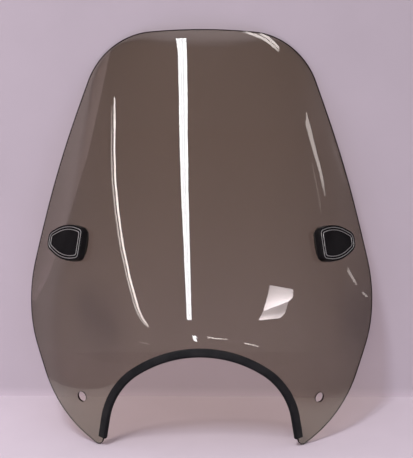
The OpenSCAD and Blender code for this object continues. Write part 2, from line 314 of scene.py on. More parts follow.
def add_node(tree: Tree, kind: str, inputs: dict[str | int, Any] | None = None, **settings: Any) -> Node:
    """Adds a node to a tree.

    Args:
        tree: the material's, world's or group's tree.
        kind: the shader node's type.
        inputs: values or sockets for its inputs, by name or index.
        settings: its properties by name.

    Returns:
        The new node.
    """
    node = tree.nodes.new(f"ShaderNode{kind}")
    for key, value in settings.items():
        setattr(node, key, value)
    for key, value in (inputs or {}).items():
        if isinstance(value, Socket):
            tree.links.new(value, node.inputs[key])
        else:
            node.inputs[key].default_value = value
    return node


def object_place(tree: Tree) -> Socket:
    """Adds the piece's own coordinates."""
    return add_node(tree, "TexCoord").outputs["Object"]


def combined(tree: Tree, operation: str, first: Socket, second: Socket, clamped: bool = False) -> Socket:
    """Combines two values by a named operation."""
    inputs = {0: first, 1: second}
    return add_node(tree, "Math", inputs, operation=operation, use_clamp=clamped).outputs[0]


def noise(tree: Tree, place: Socket, scale: Socket | float, detail: float, distortion: float = 0) -> Socket:
    """Adds a cloudy noise at a scale."""
    inputs = {"Vector": place, "Scale": scale, "Detail": detail, "Distortion": distortion}
    return add_node(tree, "TexNoise", inputs).outputs[0]


def ranged(tree: Tree, value: Socket, source: Range = (0, 1), target: Range = (0, 1)) -> Socket:
    """Maps a value from one range to another."""
    limits = dict(zip(("From Min", "From Max", "To Min", "To Max"), (*source, *target)))
    return add_node(tree, "MapRange", {"Value": value, **limits}).outputs[0]


def bumped(tree: Tree, height: Socket, strength: float, distance: float) -> Socket:
    """Turns a height into the normals of a relief."""
    inputs = {"Height": height, "Strength": strength, "Distance": distance}
    return add_node(tree, "Bump", inputs).outputs[0]


class MixSocket(Enum):
    """Sockets of a Mix node that mixes colours."""

    FACTOR = 0
    LOW = 6
    HIGH = 7
    RESULT = 2


def mixed_colour(tree: Tree, factor: Socket, low: Colour | Socket, high: Colour | Socket) -> Socket:
    """Mixes two colours by a mask.

    Args:
        tree: the tree to add the node to.
        factor: the mask.
        low: colour where the mask is 0.
        high: colour where the mask is 1.

    Returns:
        The socket of the mixed colour.
    """
    inputs = {MixSocket.FACTOR.value: factor}
    for key, colour in ((MixSocket.LOW, low), (MixSocket.HIGH, high)):
        inputs[key.value] = colour if isinstance(colour, Socket) else (*colour, 1)
    return add_node(tree, "Mix", inputs, data_type="RGBA").outputs[MixSocket.RESULT.value]


def mixed_shader(tree: Tree, factor: Socket, low: Socket, high: Socket) -> Socket:
    """Mixes two shaders by a mask, low where it is 0 and high where it is 1."""
    return add_node(tree, "MixShader", {0: factor, 1: low, 2: high}).outputs[0]


class SharedGroups:
    """Shader node groups that several finishes share, each built once."""

    @staticmethod
    def start(name: str, inputs: dict[str, float], *outputs: str) -> tuple[Tree, Any, Any]:
        """Starts a group with float sockets.

        Args:
            name: name of the group.
            inputs: names of its inputs with their usual values.
            outputs: names of its outputs.

        Returns:
            The new group's tree, the sockets of what it is given and the sockets of what it puts out.
        """
        tree = bpy.data.node_groups.new(name, "ShaderNodeTree")
        for socket, value in inputs.items():
            made = tree.interface.new_socket(socket, in_out="INPUT", socket_type="NodeSocketFloat")
            made.default_value = value
        for socket in outputs:
            tree.interface.new_socket(socket, in_out="OUTPUT", socket_type="NodeSocketFloat")
        return tree, tree.nodes.new("NodeGroupInput").outputs, tree.nodes.new("NodeGroupOutput").inputs

    @staticmethod
    @cache
    def moulded_grain() -> Tree:
        """Builds the fine pebble of a moulded surface.

        Returns:
            A group that turns Scale into a Height and a Tone.
        """
        tree, given, out = SharedGroups.start("moulded_grain", {"Scale": 1500}, "Height", "Tone")
        place = object_place(tree)
        pebble = add_node(tree, "TexVoronoi", {"Vector": place, "Scale": given["Scale"]})
        soft = noise(tree, place, scale=given["Scale"], detail=3)
        broad = noise(tree, place, scale=55, detail=4)
        tree.links.new(combined(tree, "ADD", pebble.outputs["Distance"], soft), out["Height"])
        tree.links.new(ranged(tree, broad, source=(0.3, 0.7)), out["Tone"])
        return tree

    @staticmethod
    @cache
    def handling_marks() -> Tree:
        """Builds the faint marks of handling.

        Returns:
            A group that turns Scale into a Smudge mask and a Scratch mask.
        """
        tree, given, out = SharedGroups.start("handling_marks", {"Scale": 14}, "Smudge", "Scratch")
        place = object_place(tree)
        cloud = noise(tree, place, scale=given["Scale"], detail=5, distortion=0.6)
        drawn = {"Vector": place, "Rotation": (0.3, 0.5, 0.4), "Scale": (18, 900, 900)}
        lines = noise(tree, add_node(tree, "Mapping", drawn).outputs[0], scale=1, detail=1)
        tree.links.new(ranged(tree, cloud, source=(0.42, 0.72)), out["Smudge"])
        tree.links.new(ranged(tree, lines, source=(0.68, 0.78)), out["Scratch"])
        return tree

    @staticmethod
    @cache
    def settled_dust() -> Tree:
        """Builds the dust that settles on faces that look up.

        Returns:
            A group that turns Scale and Amount into a Dust mask.
        """
        tree, given, out = SharedGroups.start("settled_dust", {"Scale": 240, "Amount": 0.3}, "Dust")
        specks = noise(tree, object_place(tree), scale=given["Scale"], detail=6)
        normal = add_node(tree, "NewGeometry").outputs["Normal"]
        facing = add_node(tree, "SeparateXYZ", {0: normal}).outputs["Z"]
        upper = ranged(tree, facing, source=(0.1, 1))
        lying = combined(tree, "MULTIPLY", upper, ranged(tree, specks, source=(0.45, 0.75)))
        tree.links.new(combined(tree, "MULTIPLY", lying, given["Amount"]), out["Dust"])
        return tree


def placed(tree: Tree, group: Tree, **values: float) -> Any:
    """Puts a shared group with its own values into a material and returns its outputs by name."""
    return add_node(tree, "Group", values, node_tree=group).outputs


# Finishes


@dataclass(frozen=True)
class Finish:
    """A finish that makes its material once."""

    name: str

    def material(self) -> bpy.types.Material:
        """Finds the finish's material, or makes it on first use.

        Returns:
            The material.
        """
        label = f"{self.name}_finish"
        made = bpy.data.materials.get(label)
        if made is None:
            made = bpy.data.materials.new(label)
            made.use_nodes = True
            made.node_tree.nodes.clear()
            add_node(made.node_tree, "OutputMaterial", {"Surface": self.surface(made.node_tree)})
        return made

    def surface(self, tree: Tree) -> Socket:
        """Builds the nodes of the surface and returns its shader socket."""
        raise NotImplementedError


@dataclass(frozen=True)
class MouldedFinish(Finish):
    """A moulded plastic or rubber with its grain, marks and dust."""

    deep: Colour
    worn: Colour
    roughness: Range
    grain_scale: float
    grain_height: float
    grain_strength: float
    dust: float
    specular: float = 0.5
    dust_colour: Colour = (0.16, 0.15, 0.15)
    dust_scale: float = 420
    marks_scale: float = 40

    def surface(self, tree: Tree) -> Socket:
        """Builds the nodes of the surface.

        Args:
            tree: the material's tree.

        Returns:
            The shader socket.
        """
        grain = placed(tree, SharedGroups.moulded_grain(), Scale=self.grain_scale)
        marks = placed(tree, SharedGroups.handling_marks(), Scale=self.marks_scale)
        dust = placed(tree, SharedGroups.settled_dust(), Scale=self.dust_scale, Amount=self.dust)
        tone = combined(tree, "MAXIMUM", grain["Tone"], marks["Scratch"])
        base = mixed_colour(tree, tone, self.deep, self.worn)
        inputs = {
            "Base Color": mixed_colour(tree, dust["Dust"], base, self.dust_colour),
            "Roughness": ranged(tree, marks["Smudge"], target=self.roughness),
            "Normal": bumped(tree, grain["Height"], self.grain_strength, self.grain_height),
            "Specular IOR Level": self.specular,
        }
        return add_node(tree, "BsdfPrincipled", inputs).outputs[0]


@dataclass(frozen=True)
class MetalFinish(Finish):
    """A bare metal with drawn lines and handling marks."""

    bright: Colour
    dull: Colour
    roughness: Range
    lines: Place
    metallic: float = 1
    line_strength: float = 0.12
    line_height: float = 0.02 * MM
    marks_scale: float = 90

    def surface(self, tree: Tree) -> Socket:
        """Builds the nodes of the surface.

        Args:
            tree: the material's tree.

        Returns:
            The shader socket.
        """
        drawn = add_node(tree, "Mapping", {"Vector": object_place(tree), "Scale": self.lines}).outputs[0]
        streak = noise(tree, drawn, scale=1, detail=3)
        marks = placed(tree, SharedGroups.handling_marks(), Scale=self.marks_scale)
        inputs = {
            "Base Color": mixed_colour(tree, marks["Smudge"], self.bright, self.dull),
            "Metallic": self.metallic,
            "Roughness": ranged(tree, streak, source=(0.3, 0.7), target=self.roughness),
            "Normal": bumped(tree, streak, self.line_strength, self.line_height),
        }
        return add_node(tree, "BsdfPrincipled", inputs).outputs[0]


@dataclass(frozen=True)
class SmokedFinish(Finish):
    """The clear smoke-brown sheet, which tints what is seen through it and lets light pass."""

    tint: Colour
    slanted: Colour
    shade: Colour
    roughness: Range
    wave_scale: float
    wave_height: float
    wave_strength: float = 0.3
    slant: Range = (0.05, 0.5)
    marks_scale: float = 16
    ior: float = 1.585

    def surface(self, tree: Tree) -> Socket:
        """Builds the nodes of the surface.

        Args:
            tree: the material's tree.

        Returns:
            The shader socket.
        """
        wave = noise(tree, object_place(tree), scale=self.wave_scale, detail=1)
        marks = placed(tree, SharedGroups.handling_marks(), Scale=self.marks_scale)
        facing = add_node(tree, "LayerWeight", {"Blend": 0.5}).outputs["Facing"]
        inputs = {
            "Base Color": mixed_colour(tree, ranged(tree, facing, self.slant), self.tint, self.slanted),
            "Roughness": ranged(tree, marks["Smudge"], target=self.roughness),
            "Normal": bumped(tree, wave, self.wave_strength, self.wave_height),
            "IOR": self.ior,
            "Transmission Weight": 1.0,
        }
        shown = add_node(tree, "BsdfPrincipled", inputs).outputs[0]
        light = add_node(tree, "LightPath").outputs
        through = add_node(tree, "BsdfTransparent", {"Color": (*self.shade, 1)}).outputs[0]
        for ray in ("Is Diffuse Ray", "Is Shadow Ray"):
            shown = mixed_shader(tree, light[ray], shown, through)
        return shown


SMOKED_SHEET = SmokedFinish(
    "smoked_sheet", tint=(0.467, 0.433, 0.367), slanted=(0.23, 0.208, 0.17),
    shade=(0.72, 0.67, 0.60), roughness=(0.004, 0.012), wave_scale=7, wave_height=0.05 * MM,
)
# Painted shade: the sheet's rim is an opaque, nearly black surface that stands for the dark line along the
# clear edge.
PAINTED_EDGE_SHADE = MouldedFinish(
    "painted_edge_shade", deep=(0.014, 0.006, 0.0075), worn=(0.021, 0.009, 0.0115), roughness=(0.3, 0.45),
    grain_scale=900, grain_height=0.02 * MM, grain_strength=0.2, dust=0, specular=0.06,
)
TRIM_RUBBER = MouldedFinish(
    "trim_rubber", deep=(0.010, 0.010, 0.012), worn=(0.020, 0.019, 0.021), roughness=(0.42, 0.58),
    grain_scale=1400, grain_height=0.06 * MM, grain_strength=0.35, dust=0.04, specular=0.14,
)
COVER_PLASTIC = MouldedFinish(
    "cover_plastic", deep=(0.006, 0.005, 0.006), worn=(0.011, 0.010, 0.011), roughness=(0.36, 0.5),
    grain_scale=2200, grain_height=0.03 * MM, grain_strength=0.3, dust=0.02, specular=0.1,
)
GASKET_RUBBER = MouldedFinish(
    "gasket_rubber", deep=(0.008, 0.008, 0.008), worn=(0.02, 0.019, 0.018), roughness=(0.6, 0.75),
    grain_scale=900, grain_height=0.08 * MM, grain_strength=0.4, dust=0.2,
)
GROMMET_RUBBER = MouldedFinish(
    "grommet_rubber", deep=(0.006, 0.006, 0.006), worn=(0.016, 0.015, 0.015), roughness=(0.5, 0.68),
    grain_scale=1100, grain_height=0.06 * MM, grain_strength=0.3, dust=0.2,
)
RECEIVER_NYLON = MouldedFinish(
    "receiver_nylon", deep=(0.013, 0.013, 0.014), worn=(0.03, 0.03, 0.031), roughness=(0.45, 0.62),
    grain_scale=1700, grain_height=0.05 * MM, grain_strength=0.4, dust=0.3,
)
PIN_FOIL = MetalFinish(
    "pinline_foil", bright=(0.62, 0.61, 0.62), dull=(0.48, 0.47, 0.48), roughness=(0.3, 0.45),
    lines=(2500, 60, 2500), metallic=0.82,
)
SCREW_STEEL = MetalFinish(
    "screw_steel", bright=(0.55, 0.55, 0.56), dull=(0.40, 0.39, 0.39), roughness=(0.22, 0.38),
    lines=(900, 900, 900),
)
WASHER_STEEL = MetalFinish(
    "washer_steel", bright=(0.60, 0.60, 0.61), dull=(0.47, 0.46, 0.45), roughness=(0.28, 0.42),
    lines=(2000, 120, 2000),
)
INSERT_BRASS = MetalFinish(
    "insert_brass", bright=(0.72, 0.52, 0.22), dull=(0.52, 0.36, 0.15), roughness=(0.25, 0.4),
    lines=(900, 900, 900),
)


# The form of the sheet


@dataclass(frozen=True)
class SheetForm:
    """The bent form of the sheet, drawn upright, with its front towards -Y and its tips at zero."""

    thickness: float = 3 * MM
    height: float = 528 * MM
    across_r: float = 280 * MM
    main_r: float = 1200 * MM
    upright_z: float = 309 * MM
    tuck_z: float = 126 * MM
    lean: float = math.radians(25)
    arch_h: float = 109.5 * MM

    @property
    def tuck_angle(self) -> float:
        """Angle of the sheet where the long bend changes to the ball at its foot."""
        return math.asin((self.tuck_z - self.upright_z) / self.main_r)

    @property
    def ball_centre(self) -> Array:
        """Centre of the ball that shapes the foot."""
        back = self.main_r - self.across_r
        y = self.main_r - back * math.cos(self.tuck_angle)
        return np.array((0.0, y, self.upright_z + back * math.sin(self.tuck_angle)))

    @property
    def unlean(self) -> Array:
        """Turn from the leaned sheet back to the upright one."""
        return np.linalg.inv(self.leaned(np.eye(3)))

    def surface(self, flat: Array, offset: float = 0.0) -> tuple[Array, Array]:
        """Finds places on a face of the upright sheet.

        Args:
            flat: x and z of the places, in the last axis.
            offset: how far the face lies outside the outer one.

        Returns:
            The places and the outward normals there.
        """
        x, z = flat[..., 0], flat[..., 1]
        radius = self.across_r + offset
        reach = self.main_r - self.across_r + np.sqrt(radius**2 - x**2)
        rise = np.arcsin((z - self.upright_z) / reach)
        turn = np.arcsin(x / radius)
        long_y = self.main_r - np.sqrt(reach**2 - (z - self.upright_z) ** 2)
        long_n = np.stack((np.sin(turn), -np.cos(turn) * np.cos(rise), np.cos(turn) * np.sin(rise)), -1)
        centre = self.ball_centre
        ball_y = centre[1] - np.sqrt(np.maximum(radius**2 - x**2 - (z - centre[2]) ** 2, 0))
        ball_n = (np.stack((x, ball_y, z), -1) - centre) / radius
        on_ball = rise < self.tuck_angle
        y = np.where(on_ball, ball_y, long_y)
        return np.stack((x, y, z), -1), np.where(on_ball[..., None], ball_n, long_n)

    def leaned(self, vectors: Array) -> Array:
        """Leans directions or places of the upright sheet back."""
        sine, cosine = math.sin(self.lean), math.cos(self.lean)
        return vectors @ np.array(((1, 0, 0), (0, cosine, -sine), (0, sine, cosine)))

    def stand(self) -> Array:
        """Finds how far the leaned sheet is moved to stand where the frame has it.

        Returns:
            The move, from the front of the arch's crown and the height of the top edge.
        """
        low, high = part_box("screen")
        ends, _ = self.surface(np.array(((0.0, self.arch_h), (0.0, self.height))))
        crown, top = self.leaned(ends)
        return np.array((0.0, low.y - crown[1], high.z - top[2]))

    def stood(self, places: Array) -> Array:
        """Moves places of the upright sheet to where the sheet stands in the frame."""
        return self.leaned(places) + self.stand()

    def upright(self, places: Array) -> Array:
        """Moves places in the frame back to the upright sheet."""
        return (places - self.stand()) @ self.unlean

    def in_frame(self, flat: Array, offset: float = 0.0) -> tuple[Array, Array]:
        """Finds places on a face of the standing sheet.

        Args:
            flat: x and z of the places on the upright sheet, in the last axis.
            offset: how far the face lies outside the outer one.

        Returns:
            The places and the outward normals, in the frame.
        """
        places, normals = self.surface(flat, offset)
        return self.stood(places), self.leaned(normals)

    def seat(self, x: float, z: float, roll: float = 0.0) -> Array:
        """Finds the seat of a piece that is fastened to the outer face.

        Args:
            x: place across the sheet.
            z: height on the upright sheet.
            roll: turn of the piece about the sheet's normal, in radians.

        Returns:
            A 4 by 4 matrix, its X across the sheet and its Z outwards.
        """
        place, outward = self.in_frame(np.array((x, z)))
        across = unit(np.cross(self.leaned(np.array((0.0, 0.0, 1.0))), outward))
        upright = np.cross(outward, across)
        seat = np.eye(4)
        seat[:3, 0] = math.cos(roll) * across + math.sin(roll) * upright
        seat[:3, 1] = math.cos(roll) * upright - math.sin(roll) * across
        seat[:3, 2] = outward
        seat[:3, 3] = place
        return seat


def seated(points: Array, seat: Array, side: Side) -> Array:
    """Moves points from a right-hand seat to where they are in the frame, mirrored for the left."""
    moved = points @ seat[:3, :3].T + seat[:3, 3]
    return moved * np.array((side.value, 1, 1))


# The pieces


@dataclass
class Screen:
    """The smoked sheet with its outline, headlight arch, lower holes and screw holes."""

    form: SheetForm
    top_w: float = 259 * MM
    top_corner_r: float = 85 * MM
    side_bow: float = 5.8 * MM
    bow_ease: float = 12
    waist_w: float = 465.9 * MM
    waist_z: float = 187 * MM
    waist_r: float = 187 * MM
    sweep_w: float = 365.2 * MM
    sweep_z: float = 45 * MM
    sweep_r: float = 184 * MM
    tip_r: float = 6.5 * MM
    tip_drop: float = 1.7 * MM
    crown_r: float = 158.5 * MM
    crown_angle: float = math.radians(29.5)
    shoulder_r: float = 80.5 * MM
    leg_spread: float = math.radians(12)
    hole_d: float = 13 * MM
    hole_w: float = 299 * MM
    hole_z: float = 61.5 * MM
    screw_hole_d: float = 5.8 * MM
    hole_ease: float = 0.15 * MM
    hole_steps: int = 72
    cutter_reach: float = 2 * MM
    rim_round: float = 1.1 * MM
    rim_steps: int = 5
    rim_reach: float = 0.45 * MM
    tip_fade: int = 14
    columns: int = 76
    rows: int = 168
    arc_steps: int = 80
    face_angle: float = math.radians(4)
    smooth_angle: float = math.radians(35)

    def arch_corners(self) -> list[Corner]:
        """Finds the corner points of the right half of the arch.

        Returns:
            The tip corner, the shoulder and the crown, with their radii.
        """
        crown_reach = self.crown_r * math.tan(self.crown_angle / 2)
        leg_angle = math.pi / 2 - self.leg_spread
        shoulder_reach = self.shoulder_r * math.tan((leg_angle - self.crown_angle) / 2)
        run = crown_reach + shoulder_reach
        shoulder_x = crown_reach + run * math.cos(self.crown_angle)
        shoulder_z = self.form.arch_h - run * math.sin(self.crown_angle)
        tip_x = shoulder_x + shoulder_z * math.tan(self.leg_spread)
        return [
            (tip_x, 0.0, self.tip_r),
            (shoulder_x, shoulder_z, self.shoulder_r),
            (crown_reach, self.form.arch_h, self.crown_r),
        ]

    def bow_corner(self) -> Corner:
        """Finds the corner point that the slight bow of the right side is rounded from.

        Returns:
            The corner point, with the radius that rounds the middle third of the side.
        """
        top = np.array((self.top_w / 2, self.form.height))
        foot = np.array((self.waist_w / 2, self.waist_z))
        length = float(np.linalg.norm(top - foot))
        outward = np.array((top[1] - foot[1], foot[0] - top[0])) / length
        x, z = (top + foot) / 2 + self.side_bow * outward
        return float(x), float(z), length**2 / self.bow_ease / self.side_bow

    def half_edge(self) -> Array:
        """Follows the edge of the right half, evenly spaced on each of its three stretches.

        Returns:
            x and z of its points, from the middle of the top by the tip to the middle of the arch.
        """
        tip, shoulder, crown = self.arch_corners()
        path = [
            (0.0, self.form.height, 0.0),
            (self.top_w / 2, self.form.height, self.top_corner_r),
            self.bow_corner(),
            (self.waist_w / 2, self.waist_z, self.waist_r),
            (self.sweep_w / 2, self.sweep_z, self.sweep_r),
            (tip[0], -self.tip_drop, self.tip_r),
            shoulder,
            crown,
            (0.0, self.form.arch_h, 0.0),
        ]
        arcs, half = corner_arcs(path, self.arc_steps), self.arc_steps // 2
        top = resampled(np.vstack((arcs[0], arcs[1][: half + 1])), self.columns)
        side = resampled(np.vstack((arcs[1][half:], *arcs[2:5], arcs[5][: half + 1])), self.rows)
        arch = resampled(np.vstack((arcs[5][half:], *arcs[6:])), self.columns)
        return np.vstack((top, side[1:], arch[1:]))

    def stretches(self, edge: Array) -> tuple[Array, Array, Array]:
        """Splits an edge of the right half into its top, its side and its arch, from the middle or foot."""
        corner = self.columns + self.rows
        return edge[: self.columns + 1], edge[self.columns : corner + 1][::-1], edge[corner:][::-1]

    def rim_rings(self) -> Array:
        """Rounds the edge of the right half of the upright sheet.

        Returns:
            Places along the edge, from the ring on the outer face to the ring on the inner one.
        """
        edge, outward = self.form.surface(self.half_edge())
        along = np.gradient(edge, axis=0)
        along[[0, -1], 1:] = 0.0
        inward = unit(np.cross(along, outward))
        r = self.rim_round
        front = [(r * (1 - math.sin(a)), r * (math.cos(a) - 1)) for a in quarter_turn(self.rim_steps)]
        profile = front + [(inset, -self.form.thickness - height) for inset, height in reversed(front)]
        corner = self.columns + self.rows
        fade = np.interp(np.arange(len(edge)), (corner - self.tip_fade, corner), (1, 0))
        reach = self.rim_reach * fade[:, None]
        return np.array([edge + (inset - reach) * inward + height * outward for inset, height in profile])

    def half_patch(self, edge: Array) -> Array:
        """Spreads a four-sided net over the right half of the sheet.

        Args:
            edge: x and z of the points along its edge, from the top by the tip to the arch.

        Returns:
            x and z of its points, as rows from the arch to the top and columns from the middle out.
        """
        top, side, arch = self.stretches(edge)
        middle = np.linspace(arch[0], top[0], self.rows + 1)
        s = np.linspace(0, 1, self.columns + 1)[None, :, None]
        t = np.linspace(0, 1, self.rows + 1)[:, None, None]
        across = (1 - t) * arch[None] + t * top[None]
        along = (1 - s) * middle[:, None] + s * side[:, None]
        corners = (1 - t) * ((1 - s) * arch[0] + s * arch[-1]) + t * ((1 - s) * top[0] + s * top[-1])
        return across + along - corners

    def shell(self) -> Piece:
        """Models the closed sheet with its rounded edge, without its holes.

        Returns:
            The closed piece.
        """
        rings = self.rim_rings()
        outer, outward = self.form.surface(self.half_patch(rings[0][:, [0, 2]]))
        inner = outer - self.form.thickness * outward
        for face, ring in ((outer, rings[0]), (inner, rings[-1])):
            face[-1], face[:, -1], face[0] = self.stretches(ring)
        faces = {"smoked_screen": outer, "inner_face": inner, "rim": rings}
        pieces = [lay_grid(name, self.form.stood(rows)) for name, rows in faces.items()]
        deselect()
        for piece in pieces:
            piece.select_set(True)
        piece = bpy.context.view_layer.objects.active = pieces[0]
        bpy.ops.object.join()
        apply_modifier(piece, "MIRROR", use_axis=(True, False, False), merge_threshold=10 * WELD)
        edit_all(piece, weld, face_outwards)
        return piece

    def cut_hole(self, piece: Piece, seat: Array, side: Side, diameter: float) -> None:
        """Cuts an eased round hole through the sheet.

        Args:
            piece: the sheet.
            seat: the right-hand seat of the hole on the outer face.
            side: the side to cut.
            diameter: diameter of the hole.
        """
        ease, reach, thickness = self.hole_ease, self.cutter_reach, self.form.thickness
        profile = [
            (diameter / 2 + ease + reach, reach),
            (diameter / 2, -ease),
            (diameter / 2, ease - thickness),
            (diameter / 2 + ease + reach, -reach - thickness),
        ]
        turn = np.linspace(0, 2 * math.pi, self.hole_steps, endpoint=False)
        rings = np.array([[(r * math.cos(a), r * math.sin(a), h) for a in turn] for r, h in profile])
        cutter = closed_loft("hole_cutter", seated(rings, seat, side))
        apply_modifier(piece, "BOOLEAN", object=cutter, operation="DIFFERENCE", solver="EXACT")
        bpy.data.objects.remove(cutter)

    def true_normals(self, piece: Piece) -> None:
        """Gives the two large faces the exact normals of the bent form, and marks the faces of the rim for
        the painted shade of the dark edge line.

        Args:
            piece: the finished sheet.
        """
        mesh = piece.data
        mesh.update()
        corner = np.empty(len(mesh.loops), dtype=np.int32)
        mesh.loops.foreach_get("vertex_index", corner)
        own = np.array([n.vector for n in mesh.corner_normals])
        exact = self.form.in_frame(self.form.upright(points_of(mesh))[:, [0, 2]])[1][corner]
        face_normals = np.array([face.normal for face in mesh.polygons])
        counts = [face.loop_total for face in mesh.polygons]
        first = [face.loop_start for face in mesh.polygons]
        facing = np.sum(np.repeat(face_normals, counts, axis=0) * exact, axis=1)[:, None]
        limit = math.cos(self.face_angle)
        chosen = np.where(facing > limit, exact, np.where(facing < -limit, -exact, own))
        mesh.normals_split_custom_set(chosen)
        # The rim's faces take the second material, the painted shade of the dark edge line.
        on_rim = (np.abs(facing[first, 0]) <= limit).astype(np.int32)
        mesh.polygons.foreach_set("material_index", on_rim)

    def build(self, mount_seat: Array, screw_w: float) -> None:
        """Models and dresses the sheet.

        Args:
            mount_seat: the right-hand seat of a mount.
            screw_w: distance between the two screws of a mount.
        """
        piece = self.shell()
        hole_seat = self.form.seat(self.hole_w / 2, self.hole_z)
        for side in Side:
            self.cut_hole(piece, hole_seat, side, self.hole_d)
            for step in (-screw_w / 2, screw_w / 2):
                screw_seat = mount_seat.copy()
                screw_seat[:3, 3] += step * mount_seat[:3, 0]
                self.cut_hole(piece, screw_seat, side, self.screw_hole_d)
        dress(piece, self.smooth_angle, SMOKED_SHEET, "tinted_sheet", "screen")
        # The rim gets the painted shade of the dark edge line.
        piece.data.materials.append(PAINTED_EDGE_SHADE.material())
        self.true_normals(piece)


@dataclass
class HeadlightTrim:
    """The rubber channel that is pushed over the edge of the headlight arch."""

    screen: Screen
    lap: float = 6.4 * MM
    bead: float = 4.4 * MM
    lip: float = 2 * MM
    gap: float = 0.1 * MM
    stop: float = 13 * MM
    bead_round: float = 3.3 * MM
    lip_round: float = 1.2 * MM
    slot_round: float = 0.5 * MM
    end_round: float = 0.3 * MM
    end_steps: int = 2
    end_angle: float = math.radians(60)
    stations: int = 180
    section_steps: int = 7
    smooth_angle: float = math.radians(40)

    def section(self) -> Array:
        """Draws the section of the channel.

        Returns:
            Its points, as distance over the sheet and distance out of the sheet's middle.
        """
        inner = self.screen.form.thickness / 2 + self.gap
        outer = inner + self.lip
        upper = [
            (-self.gap, inner, self.slot_round),
            (self.lap, inner, self.slot_round),
            (self.lap, outer, self.lip_round),
            (-self.bead, outer, self.bead_round),
        ]
        path = upper + [(over, -out, radius) for over, out, radius in reversed(upper)]
        return np.vstack(corner_arcs(path[1:] + path[:1], self.section_steps))

    def edge(self) -> Array:
        """Follows the edge of the arch from one cut end of the channel to the other.

        Returns:
            x and z of the stations, from left to right.
        """
        tip, shoulder, crown = self.screen.arch_corners()
        start = np.array(tip[:2]) + self.stop * unit(np.array(shoulder[:2]) - np.array(tip[:2]))
        middle, steps = (0.0, self.screen.form.arch_h, 0.0), self.screen.arc_steps
        arcs = corner_arc(tip, shoulder, crown, steps), corner_arc(shoulder, crown, middle, steps)
        right = np.vstack((start[None], *arcs))
        return resampled(np.vstack((right * (-1, 1), right[::-1])), self.stations)

    def build(self) -> None:
        """Models and dresses the channel."""
        form, section = self.screen.form, self.section()[None]
        middle, outward = form.in_frame(self.edge(), -form.thickness / 2)
        over = unit(np.cross(outward, unit(np.gradient(middle, axis=0))))
        over *= np.sign(over[len(over) // 2, 2])
        rings = middle[:, None] + section[..., :1] * over[:, None] + section[..., 1:] * outward[:, None]
        piece = closed_loft("arch_trim", rings)
        bevel_edges(piece, self.end_round, self.end_steps, self.end_angle)
        dress(piece, self.smooth_angle, TRIM_RUBBER, "trim_rubber", "headlight_trim")


# Finish, material slot and width of the eased edges of each fitting
FITTINGS: dict[str, tuple[Finish, str, float]] = {
    "front_gasket": (GASKET_RUBBER, "gasket_rubber", 0.35 * MM),
    "rear_gasket": (GASKET_RUBBER, "gasket_rubber", 0.3 * MM),
    "receiver": (RECEIVER_NYLON, "receiver_nylon", 0.45 * MM),
    "post_grommet": (GROMMET_RUBBER, "grommet_rubber", 0.6 * MM),
    "screws": (SCREW_STEEL, "screw_steel", 0.35 * MM),
    "washers": (WASHER_STEEL, "washer_steel", 0.15 * MM),
    "threaded_inserts": (INSERT_BRASS, "insert_brass", 0.2 * MM),
}


